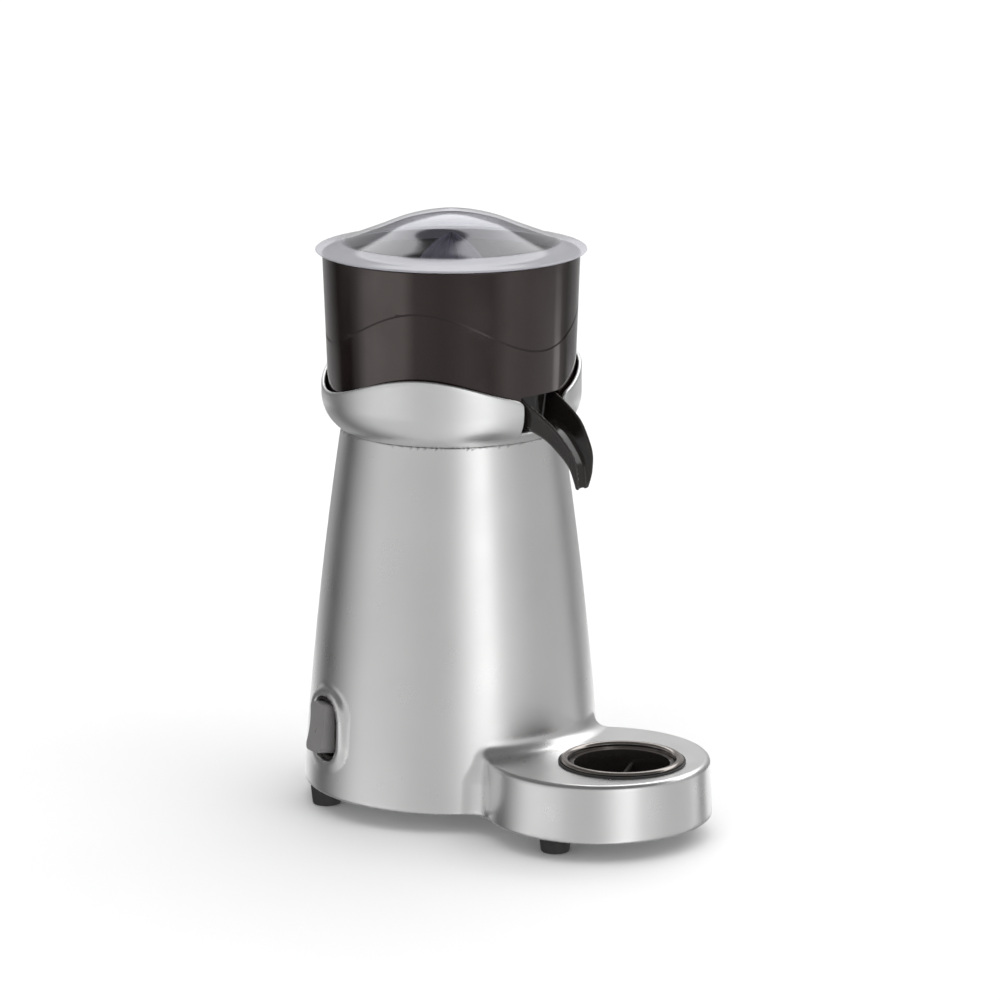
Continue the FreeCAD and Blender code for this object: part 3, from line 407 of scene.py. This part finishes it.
def spout_outline(lift):
    """Side view of the chute, (distance to the front, height); lift raises the floor, for the channel.

    Low down, where the chute is steep, the channel's floor is moved forward too. The channel runs on past
    the chute's lip and stands clear of its top, which leaves both open.
    """
    clear = CHANNEL_CLEARANCE * lift
    floor = smooth_line([(74.0, SPOUT_ROOT_LOW_Z), (86.0, 235.2), (95.0, 228.4), (102.6, 219.8),
                         (106.0, 207.6)])
    top = smooth_line([(107.8, 207.6), (109.6, 217.5), (107.6, 229.4), (98.0, 242.6), (88.0, 250.6),
                       (72.0, SPOUT_ROOT_HIGH_Z)])
    floor = [(a + lift * max(0.0, STEEP_Z - b) / STEEP_RUN, b + lift) for a, b in floor]
    top = [(a + clear, b + clear) for a, b in top]
    if lift:
        floor.append((floor[-1][0] + CHANNEL_DRIFT, floor[-1][1] - CHANNEL_RUN_OUT))
        top.insert(0, (top[0][0], top[0][1] - CHANNEL_RUN_OUT))
    return [(SPOUT_BACK, SPOUT_ROOT_LOW_Z + lift)] + floor + top + [(SPOUT_BACK, SPOUT_ROOT_HIGH_Z + clear)]


def spout_half_width(z):
    """Half the chute's width by height, which narrows towards its lip."""
    return np.interp(z, [205.0, 224.0, 236.0, 246.5, 256.0, 264.0], [5.4, 8.6, 11.2, 14.0, 15.7, 15.9])


SPOUT_OUTSIDE = spout_outline(0.0)
SPOUT_CHANNEL = spout_outline(SPOUT_WALL)


def spout(x, y, z):
    """Distance to the chute: its outside less the open channel."""
    half = spout_half_width(z)
    body = round_cut(inside_line(SPOUT_OUTSIDE, -y, z), (np.abs(x) - half) * SPOUT_LEAN, SPOUT_EDGE_R)
    between_walls = (np.abs(x) - half + SPOUT_WALL) * SPOUT_LEAN
    channel = round_cut(inside_line(SPOUT_CHANNEL, -y, z), between_walls, CHANNEL_EDGE_R)
    return round_cut(body, -np.maximum(channel, y + SPOUT_BACK + SPOUT_BACK_WALL), LIP_R)


def add_spout():
    """Open chute in black plastic under the gap in the collar."""
    low, high = (-18.0, -112.0, 205.0), (18.0, -61.0, 262.0)
    points, quads = surface_of(spout, low, high, SPOUT_PITCH, relax=4)
    chute = piece("spout", points, quads.tolist(), "bowl", "black_plastic", ["spout_chute"])
    chute.visible_glossy = False                 # the pieces round it don't mirror it


# ---------------------------------------------------------------- lid, reamer and feet

def add_lid():
    """Shallow bell with a thin flared brim, a skirt inside the bowl's mouth and one even wall."""
    foot = (70.0, 341.9)
    dome = smooth_line([(0.0, LID_APEX_Z), (15.0, 361.3), (30.0, 357.5), (45.0, 351.5), (60.0, 345.7),
                        foot, (77.0, 340.4), (LID_R - 0.9, LID_BRIM_Z)], 6)
    low = BOWL_RIM_Z + LID_GAP
    skirt_low, skirt_in = low - LID_SKIRT_DEPTH, LID_SKIRT_R - LID_SKIRT_WALL
    brim = rounded([foot, (LID_R - 0.9, LID_BRIM_Z, 0.01), (LID_R, low + 0.8, 0.5),
                    (LID_R - 1.4, low, 0.5), (LID_SKIRT_R, low), (LID_SKIRT_R, skirt_low, 0.5),
                    (skirt_in, skirt_low, 0.5), (skirt_in, 338.6)], 3)[1:-1]
    under = [(r, z - LID_WALL) for r, z in reversed(dome) if r < foot[0] + 0.5]
    points, faces = turned(dome[:-1] + brim + under, 192)
    piece("lid_dome", points, faces, "lid", "clear_smoked", ["lid"], sharp=50)


def add_reamer():
    """Pressing cone with rounded ribs that grow from its tip, over a skirt round the chimney."""
    cone = smooth_line([(0.0, REAMER_APEX_Z), (5.5, 343.6), (11.0, 338.5), (19.5, 328.0), (27.5, 315.0),
                        (33.5, 302.0), (37.0, 289.0), (REAMER_R, REAMER_FLOOR_Z + 3.0)], 6)
    cone.append((REAMER_R, REAMER_FLOOR_Z))
    inside = [(REAMER_SKIRT_R, REAMER_FLOOR_Z), (REAMER_SKIRT_R, REAMER_SKIRT_Z),
              (REAMER_BORE_R, REAMER_SKIRT_Z), (REAMER_BORE_R, REAMER_BORE_TOP_Z),
              (SOCKET_R, REAMER_BORE_TOP_Z), (SOCKET_R, SOCKET_TOP_Z), (0.0, SOCKET_TOP_Z)]
    count, segments = len(cone) + len(inside), 360
    points, faces = turned(cone + inside, segments)
    for index, (x, y, z) in enumerate(points):
        if index % count >= len(cone):
            continue
        turn = 2 * math.pi * (index // count) / segments
        out = RIB_SWELL * ((1 + math.cos(RIB_COUNT * turn)) / 2) ** RIB_SHARPNESS
        radius = max(math.hypot(x, y), 1e-6)
        share = min(1.0, radius / RIB_ROOT_R)
        grown = 1 + out * share / radius
        points[index] = (x * grown, y * grown, z + out * (1 - share) * RIB_RISE)
    piece("reamer_cone", points, faces, "reamer", "reamer_plastic", ["reamer"], sharp=60)


def add_feet():
    """Tapered rubber feet with a recess for the screw."""
    outline = rounded([(FOOT_TOP_R, BASE_Z, 0.8), (FOOT_LOW_R, 0.0, 1.6), (FOOT_RECESS_R, 0.0, 0.6),
                       (FOOT_RECESS_R, FOOT_RECESS_DEPTH), (FOOT_HOLE_R, FOOT_RECESS_DEPTH),
                       (FOOT_HOLE_R, BASE_Z)])
    for name in ("foot_front_left", "foot_front_right", "foot_rear_left", "foot_rear_right"):
        low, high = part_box(name)
        middle = ((Vector(low) + Vector(high)) / 2 - AXIS) / MM
        points, faces = turned(outline, 64, (middle.x, middle.y))
        piece(name + "_pad", points, faces, "base", "black_rubber", [name], sharp=50)


# ---------------------------------------------------------------- materials

WEAR_AMOUNT, WEAR_POINTINESS = 0.35, (0.52, 0.62)     # most rubbing, and where it starts and is full
GLOSS_SCALE = 2.7                                     # uneven gloss is finer than the cloudy colour
MIRROR_GAIN = 1.6                                     # the far face of a thin wall mirrors as well
PAINTED_SHEEN, PAINTED_SHEEN_START, PAINTED_SHEEN_END = 0.72, 0.0625, 0.0665     # painted reflection: brim made pale grey in place of the light it mirrors; metres from the axis
# pale grey painted on the brim in place of its reflection
PAINTED_SHEEN_COLOUR = (0.52, 0.52, 0.56)


def wire(tree, source, target):
    tree.links.new(source, target)


def noise(tree, scale, detail, stretch=(1.0, 1.0, 1.0)):
    """Noise fixed to the piece; stretch above 1 makes it finer along that axis."""
    place = tree.nodes.new("ShaderNodeTexCoord")
    turn = tree.nodes.new("ShaderNodeMapping")
    turn.inputs["Scale"].default_value = stretch
    texture = tree.nodes.new("ShaderNodeTexNoise")
    texture.inputs["Scale"].default_value = scale
    texture.inputs["Detail"].default_value = detail
    wire(tree, place.outputs["Object"], turn.inputs["Vector"])
    wire(tree, turn.outputs["Vector"], texture.inputs["Vector"])
    return texture.outputs["Fac"]


def spread(tree, value, low, high, from_low=0.3, from_high=0.7):
    """A value's range stretched to run from low to high; noise stays mostly within the defaults."""
    span = tree.nodes.new("ShaderNodeMapRange")
    span.inputs["From Min"].default_value = from_low
    span.inputs["From Max"].default_value = from_high
    span.inputs["To Min"].default_value = low
    span.inputs["To Max"].default_value = high
    wire(tree, value, span.inputs["Value"])
    return span.outputs["Result"]


def fade(tree, value, start, end):
    """0 before start and 1 after end, smooth between; falls instead of rising where start is above end."""
    step = tree.nodes.new("ShaderNodeMapRange")
    step.interpolation_type = "SMOOTHSTEP"
    low, high = min(start, end), max(start, end)
    step.inputs["From Min"].default_value = low
    step.inputs["From Max"].default_value = high
    step.inputs["To Min"].default_value = 0.0 if end > start else 1.0
    step.inputs["To Max"].default_value = 1.0 if end > start else 0.0
    wire(tree, value, step.inputs["Value"])
    return step.outputs["Result"]


def maths(tree, operation, first, second):
    """Result of a sum whose terms are sockets or numbers."""
    node = tree.nodes.new("ShaderNodeMath")
    node.operation = operation
    for socket, value in zip(node.inputs, (first, second)):
        if isinstance(value, bpy.types.NodeSocket):
            wire(tree, value, socket)
        else:
            socket.default_value = value
    return node.outputs[0]


def between(tree, factor, first, second):
    """Colour between two colours, or between a socket's colour and a colour."""
    mix = tree.nodes.new("ShaderNodeMix")
    mix.data_type = "RGBA"
    for socket, colour in ((mix.inputs[6], first), (mix.inputs[7], second)):
        if isinstance(colour, bpy.types.NodeSocket):
            wire(tree, colour, socket)
        else:
            socket.default_value = (*colour, 1.0)
    wire(tree, factor, mix.inputs[0])
    return mix.outputs[2]


def shade(colour, amount):
    """Colour made darker, or brighter where the amount is above 1."""
    return tuple(min(1.0, max(0.0, part * amount)) for part in colour)


def finish(name, colour, metal=0.0, rough=0.4, mottle=0.06, mottle_scale=25.0, rough_spread=0.05, grain=0.1,
           grain_scale=900.0, grain_depth=0.00004, stretch=(1.0, 1.0, 1.0), wear=None, sockets=()):
    """Material with cloudy colour, uneven gloss, fine grain and, if asked, paler rubbed edges."""
    made = bpy.data.materials.new(name)
    made.use_nodes = True
    tree = made.node_tree
    shader = tree.nodes["Principled BSDF"]
    shader.inputs["Metallic"].default_value = metal
    for socket, value in sockets:
        shader.inputs[socket].default_value = value
    cloud = noise(tree, mottle_scale, 4.0)
    tint = between(tree, spread(tree, cloud, 0.0, 1.0), shade(colour, 1 - mottle), shade(colour, 1 + mottle))
    if wear is not None:
        shape = tree.nodes.new("ShaderNodeNewGeometry")
        rubbed = spread(tree, shape.outputs["Pointiness"], 0.0, WEAR_AMOUNT, *WEAR_POINTINESS)
        tint = between(tree, rubbed, tint, wear)
    wire(tree, tint, shader.inputs["Base Color"])
    fine = noise(tree, grain_scale, 2.0, stretch)
    uneven = noise(tree, mottle_scale * GLOSS_SCALE, 5.0)
    gloss = spread(tree, uneven, rough - rough_spread, rough + rough_spread)
    wire(tree, gloss, shader.inputs["Roughness"])
    bump = tree.nodes.new("ShaderNodeBump")
    bump.inputs["Strength"].default_value = grain
    bump.inputs["Distance"].default_value = grain_depth
    wire(tree, fine, bump.inputs["Height"])
    wire(tree, bump.outputs["Normal"], shader.inputs["Normal"])
    return made


def let_through(made, factor, tint):
    """Makes a material clear, with a tint, where the factor is 1."""
    tree = made.node_tree
    clear = tree.nodes.new("ShaderNodeBsdfTransparent")
    clear.inputs["Color"].default_value = (*tint, 1.0)
    mix = tree.nodes.new("ShaderNodeMixShader")
    wire(tree, factor, mix.inputs["Fac"])
    wire(tree, tree.nodes["Principled BSDF"].outputs["BSDF"], mix.inputs[1])
    wire(tree, clear.outputs["BSDF"], mix.inputs[2])
    wire(tree, mix.outputs["Shader"], tree.nodes["Material Output"].inputs["Surface"])


def from_axis(tree):
    """Distance from the drive axis in metres."""
    place = tree.nodes.new("ShaderNodeTexCoord").outputs["Object"]
    level = tree.nodes.new("ShaderNodeVectorMath")
    level.operation = "MULTIPLY_ADD"
    level.inputs[1].default_value = (1.0, 1.0, 0.0)
    level.inputs[2].default_value = -AXIS
    length = tree.nodes.new("ShaderNodeVectorMath")
    length.operation = "LENGTH"
    wire(tree, place, level.inputs[0])
    wire(tree, level.outputs["Vector"], length.inputs[0])
    return length.outputs["Value"]


def clear_plastic(name, colour, tint, **more):
    """Thin clear plastic: glossy where its front face mirrors, painted pale grey at the brim in place of its
    reflection, see-through elsewhere.
    """
    made = finish(name, colour, metal=1.0, **more)
    tree = made.node_tree
    mirror = tree.nodes.new("ShaderNodeFresnel")
    mirror.inputs["IOR"].default_value = 1.5
    behind = tree.nodes.new("ShaderNodeNewGeometry").outputs["Backfacing"]
    gloss = maths(tree, "MINIMUM", maths(tree, "MULTIPLY", mirror.outputs["Fac"], MIRROR_GAIN), 1.0)
    # painted reflection: past this radius the plastic turns a part-opaque pale grey that stands in for the bright
    # light the brim mirrors
    brim = fade(tree, from_axis(tree), PAINTED_SHEEN_START, PAINTED_SHEEN_END)
    shader = tree.nodes["Principled BSDF"]
    wire(tree, maths(tree, "SUBTRACT", 1.0, brim), shader.inputs["Metallic"])
    plain = shader.inputs["Base Color"].links[0].from_socket
    wire(tree, between(tree, brim, plain, PAINTED_SHEEN_COLOUR), shader.inputs["Base Color"])
    gloss = maths(tree, "MAXIMUM", gloss, maths(tree, "MULTIPLY", brim, PAINTED_SHEEN))
    front = maths(tree, "MULTIPLY", gloss, maths(tree, "SUBTRACT", 1.0, behind))
    let_through(made, maths(tree, "SUBTRACT", 1.0, front), tint)
    return made


def metal(name, colour, rough, **more):
    """Material that is metal all over."""
    return finish(name, colour, metal=1.0, rough=rough, **more)


MAKERS = {
    "cast_aluminium": lambda name: metal(name, (0.80, 0.797, 0.795), 0.29, mottle=0.025, rough_spread=0.02,
                                         mottle_scale=18.0, grain=0.25, grain_scale=1400.0),
    "collar_aluminium": lambda name: metal(name, (0.84, 0.848, 0.842), 0.36, mottle=0.02, rough_spread=0.03,
                                           mottle_scale=22.0, grain=0.25, grain_scale=1400.0),
    "machined_aluminium": lambda name: metal(name, (0.72, 0.72, 0.73), 0.32, mottle=0.08, grain=0.5,
                                             stretch=(1.0, 1.0, 6.0)),
    "plated_steel": lambda name: metal(name, (0.62, 0.62, 0.63), 0.34, mottle=0.12, grain=0.4),
    "core_steel": lambda name: metal(name, (0.30, 0.30, 0.32), 0.45, mottle=0.1, grain=1.0, grain_scale=300.0,
                                     stretch=(0.05, 0.05, 8.0), grain_depth=0.0002),
    "sieve_steel": lambda name: metal(name, (0.70, 0.70, 0.71), 0.28, grain=0.3),
    "shaft_steel": lambda name: metal(name, (0.74, 0.74, 0.76), 0.16, mottle=0.04, grain=0.2,
                                      stretch=(1.0, 1.0, 5.0)),
    "copper_winding": lambda name: metal(name, (0.72, 0.33, 0.14), 0.35, mottle=0.2, grain=1.0,
                                         grain_scale=350.0, grain_depth=0.0004),
    "terminal_brass": lambda name: metal(name, (0.80, 0.62, 0.30), 0.3),
    "trim_metal": lambda name: metal(name, (0.36, 0.33, 0.31), 0.17, mottle=0.05, grain=0.15,
                                     stretch=(1.0, 1.0, 4.0)),
    "black_rubber": lambda name: finish(name, (0.022, 0.021, 0.021), rough=0.62, mottle=0.25, grain=0.6,
                                        grain_scale=1600.0, grain_depth=0.0001, wear=(0.06, 0.058, 0.055)),
    "black_plastic": lambda name: finish(name, (0.014, 0.012, 0.011), rough=0.17, mottle=0.2,
                                         rough_spread=0.05, grain=0.12, wear=(0.05, 0.045, 0.042)),
    "rocker_plastic": lambda name: finish(name, (0.17, 0.165, 0.165), rough=0.32, mottle=0.1, grain=0.4,
                                          grain_scale=1200.0, wear=(0.3, 0.29, 0.29)),
    "smoked_bowl": lambda name: finish(name, (0.0075, 0.0042, 0.0038), rough=0.09, mottle=0.2,
                                       mottle_scale=14.0, rough_spread=0.03, grain=0.05, grain_scale=120.0,
                                       sockets=[("IOR", 1.5), ("Specular IOR Level", 0.66),
                                                ("Specular Tint", (1.0, 0.87, 0.86, 1.0))]),
    "clear_smoked": lambda name: clear_plastic(name, (0.94, 0.94, 0.97), (0.90, 0.90, 0.93), rough=0.06,
                                               mottle=0.03, rough_spread=0.02, grain=0.03, grain_scale=90.0),
    "reamer_plastic": lambda name: finish(name, (0.10, 0.09, 0.12), rough=0.22, grain=0.2,
                                          wear=(0.3, 0.3, 0.33)),
    "white_plastic": lambda name: finish(name, (0.78, 0.77, 0.74), rough=0.42, mottle=0.05, grain=0.3),
    "washer_plastic": lambda name: finish(name, (0.72, 0.71, 0.68), rough=0.38, mottle=0.05, grain=0.3),
}


MADE = {}


def material(slot):
    """The material of a slot, made once."""
    if slot not in MADE:
        MADE[slot] = MAKERS[slot](slot)
    return MADE[slot]


def dress_cad_nodes():
    """Gives every carried-over node the material of its slot."""
    slot_of = {sub["node"]: sub["material_slot"] for sub in frame["record"]["subparts"]}
    for name, thing in frame["nodes"].items():
        thing.data.materials.clear()
        thing.data.materials.append(material(slot_of[name]))


# ---------------------------------------------------------------- studio and camera

CAMERA_TURN = math.radians(-46.6)
CAMERA_RISE = math.radians(12.96)
CAMERA_REACH = 2.926
TARGET_ACROSS, TARGET_Z = 0.0292, 0.1842
LENS, SENSOR = 173.7, 36.0
TOWARDS = Vector((math.sin(CAMERA_TURN), -math.cos(CAMERA_TURN), 0.0))
ACROSS = Vector((math.cos(CAMERA_TURN), math.sin(CAMERA_TURN), 0.0))

# How bright the walls of the studio are, by direction: degrees to the right of the camera, level.
WALL_LIGHT = [
    (-180, 0.43), (-150, 0.40), (-136, 0.22), (-124, 0.05), (-114, 0.18), (-98, 0.44), (-77, 0.66),
    (-60, 0.61), (-5, 0.54), (3, 0.60), (14, 0.95), (25, 1.38), (36, 1.45), (39, 0.80), (52, 0.64),
    (72, 0.48), (113, 0.47), (129, 0.22), (142, 0.36), (170, 0.50), (180, 0.43)]
# The same for the narrow strip just under the horizon that the upright bowl mirrors.
STRIP_LIGHT = [
    (-180, 1.5), (-150, 1.2), (-135, 0.5), (-122, 0.04), (-106, 0.04), (-96, 0.4), (-84, 1.3), (-72, 1.55),
    (-44, 1.5), (-33, 0.65), (-8, 0.5), (14, 0.62), (36, 0.42), (47, 0.8), (54, 1.0), (76, 0.8), (108, 0.85),
    (112, 1.7), (118, 1.7), (121, 0.5), (132, 0.2), (146, 1.5), (180, 1.5)]
RAMP_SCALE = 2.0         # the ramps hold levels as shares of this
CEILING_LEVEL = 0.16
BACK_LIGHT_LEVEL = 2.2
BACKDROP_LEVEL = 0.97
# Degrees above the horizon where each part of the light starts to show and is full.
STRIP_LOW, STRIP_HIGH = (-16.6, -16.1), (-12.5, -13.5)
CEILING_RISE = 24, 40
BACK_LIGHT_RISE = 26, 31
# The light behind also ends along a tilted great circle of the sky.
BACK_LIGHT_SLOPE = TOWARDS * 1.28 - ACROSS * 0.6
BACK_LIGHT_EDGE = 0.02, -0.04


def along(tree, direction, axis):
    """Part of a direction along an axis."""
    node = tree.nodes.new("ShaderNodeVectorMath")
    node.operation = "DOT_PRODUCT"
    node.inputs[1].default_value = axis
    wire(tree, direction, node.inputs[0])
    return node.outputs["Value"]


def ring_of_light(tree, bearing, plan):
    """Brightness around the horizon from a plan of bearings and levels."""
    ramp = tree.nodes.new("ShaderNodeValToRGB")
    ramp.color_ramp.interpolation = "LINEAR"
    stops = ramp.color_ramp.elements
    stops.remove(stops[1])
    for number, (degrees, level) in enumerate(plan):
        stop = stops.new((degrees + 180) / 360) if number else stops[0]
        stop.color = (level / RAMP_SCALE, level / RAMP_SCALE, level / RAMP_SCALE, 1.0)
    wire(tree, bearing, ramp.inputs["Fac"])
    return maths(tree, "MULTIPLY", ramp.outputs["Color"], RAMP_SCALE)


def mixed(tree, factor, first, second):
    """first where the factor is 0 and second where it is 1."""
    difference = maths(tree, "SUBTRACT", second, first)
    return maths(tree, "ADD", maths(tree, "MULTIPLY", difference, factor), first)


def fade_up(tree, height, ends):
    """0 at the first of two elevations in degrees and 1 at the second, smooth between."""
    start, end = (math.sin(math.radians(degrees)) for degrees in ends)
    return fade(tree, height, start, end)


def add_studio_light():
    """Light from all round: pale walls, a tall soft light to the right, one high behind, a dim ceiling."""
    world = bpy.data.worlds.new("studio")
    bpy.context.scene.world = world
    world.use_nodes = True
    tree = world.node_tree
    background = tree.nodes["Background"]
    direction = tree.nodes.new("ShaderNodeTexCoord").outputs["Generated"]
    towards, right = along(tree, direction, TOWARDS), along(tree, direction, ACROSS)
    height = along(tree, direction, (0, 0, 1))
    turn = maths(tree, "DIVIDE", maths(tree, "ARCTAN2", right, towards), 2 * math.pi)
    bearing = maths(tree, "ADD", turn, 0.5)
    walls = ring_of_light(tree, bearing, WALL_LIGHT)
    strip = ring_of_light(tree, bearing, STRIP_LIGHT)
    in_strip = maths(tree, "MULTIPLY", fade_up(tree, height, STRIP_LOW), fade_up(tree, height, STRIP_HIGH))
    level = mixed(tree, in_strip, walls, strip)
    level = mixed(tree, fade_up(tree, height, CEILING_RISE), level, CEILING_LEVEL)
    edge = maths(tree, "ADD", height, along(tree, direction, BACK_LIGHT_SLOPE))
    band = maths(tree, "MULTIPLY", fade_up(tree, height, BACK_LIGHT_RISE), fade(tree, edge, *BACK_LIGHT_EDGE))
    level = mixed(tree, band, level, BACK_LIGHT_LEVEL)
    seen = tree.nodes.new("ShaderNodeLightPath").outputs["Is Camera Ray"]
    level = mixed(tree, seen, level, BACKDROP_LEVEL)
    wire(tree, level, background.inputs["Strength"])
    background.inputs["Color"].default_value = (1.0, 1.0, 1.0, 1.0)


def add_lamp(name, source, power, softness=50.0):
    """Soft even light from a direction for matt surfaces and the floor, which isn't mirrored."""
    lamp = bpy.data.lights.new(name, "SUN")
    lamp.energy = power
    lamp.angle = math.radians(softness)
    thing = bpy.data.objects.new(name, lamp)
    bpy.context.scene.collection.objects.link(thing)
    thing.rotation_euler = Vector(source).to_track_quat("Z", "Y").to_euler()
    thing.visible_glossy = False


def add_floor():
    """Pale floor, which the object's glossy faces see through to the studio's light."""
    half = 14.0
    mesh = bpy.data.meshes.new("studio_floor")
    corners = [(-half, -half, 0), (half, -half, 0), (half, half, 0), (-half, half, 0)]
    mesh.from_pydata(corners, [], [(0, 1, 2, 3)])
    floor = bpy.data.objects.new("studio_floor", mesh)
    bpy.context.scene.collection.objects.link(floor)
    paint = finish("studio_floor", (0.90, 0.90, 0.90), rough=0.7, mottle=0.01, mottle_scale=2.0, grain=0.05)
    mirrored = paint.node_tree.nodes.new("ShaderNodeLightPath").outputs["Is Glossy Ray"]
    let_through(paint, mirrored, (1.0, 1.0, 1.0))
    mesh.materials.append(paint)


def add_camera():
    """Long lens, a little above the object and to the left of its front."""
    lens = bpy.data.cameras.new("camera")
    lens.lens, lens.sensor_width = LENS, SENSOR
    lens.clip_end = 60.0
    camera = bpy.data.objects.new("camera", lens)
    bpy.context.scene.collection.objects.link(camera)
    target = AXIS + ACROSS * TARGET_ACROSS + Vector((0, 0, TARGET_Z))
    away = TOWARDS * math.cos(CAMERA_RISE) + Vector((0, 0, math.sin(CAMERA_RISE)))
    camera.location = target + away * CAMERA_REACH
    camera.rotation_euler = away.to_track_quat("Z", "Y").to_euler()
    bpy.context.scene.camera = camera


dress_cad_nodes()
add_casting()
add_collar()
add_spout()
add_lid()
add_reamer()
add_feet()
add_floor()
add_studio_light()
add_lamp("lamp_high", (0.1, -0.1, 1.0), 1.7, 80.0)
add_lamp("lamp_left", (-1.0, -0.2, 0.8), 0.5)
add_lamp("lamp_right", (0.3, -1.0, 0.7), 0.5)
add_camera()
bpy.context.scene.view_settings.view_transform = "Standard"
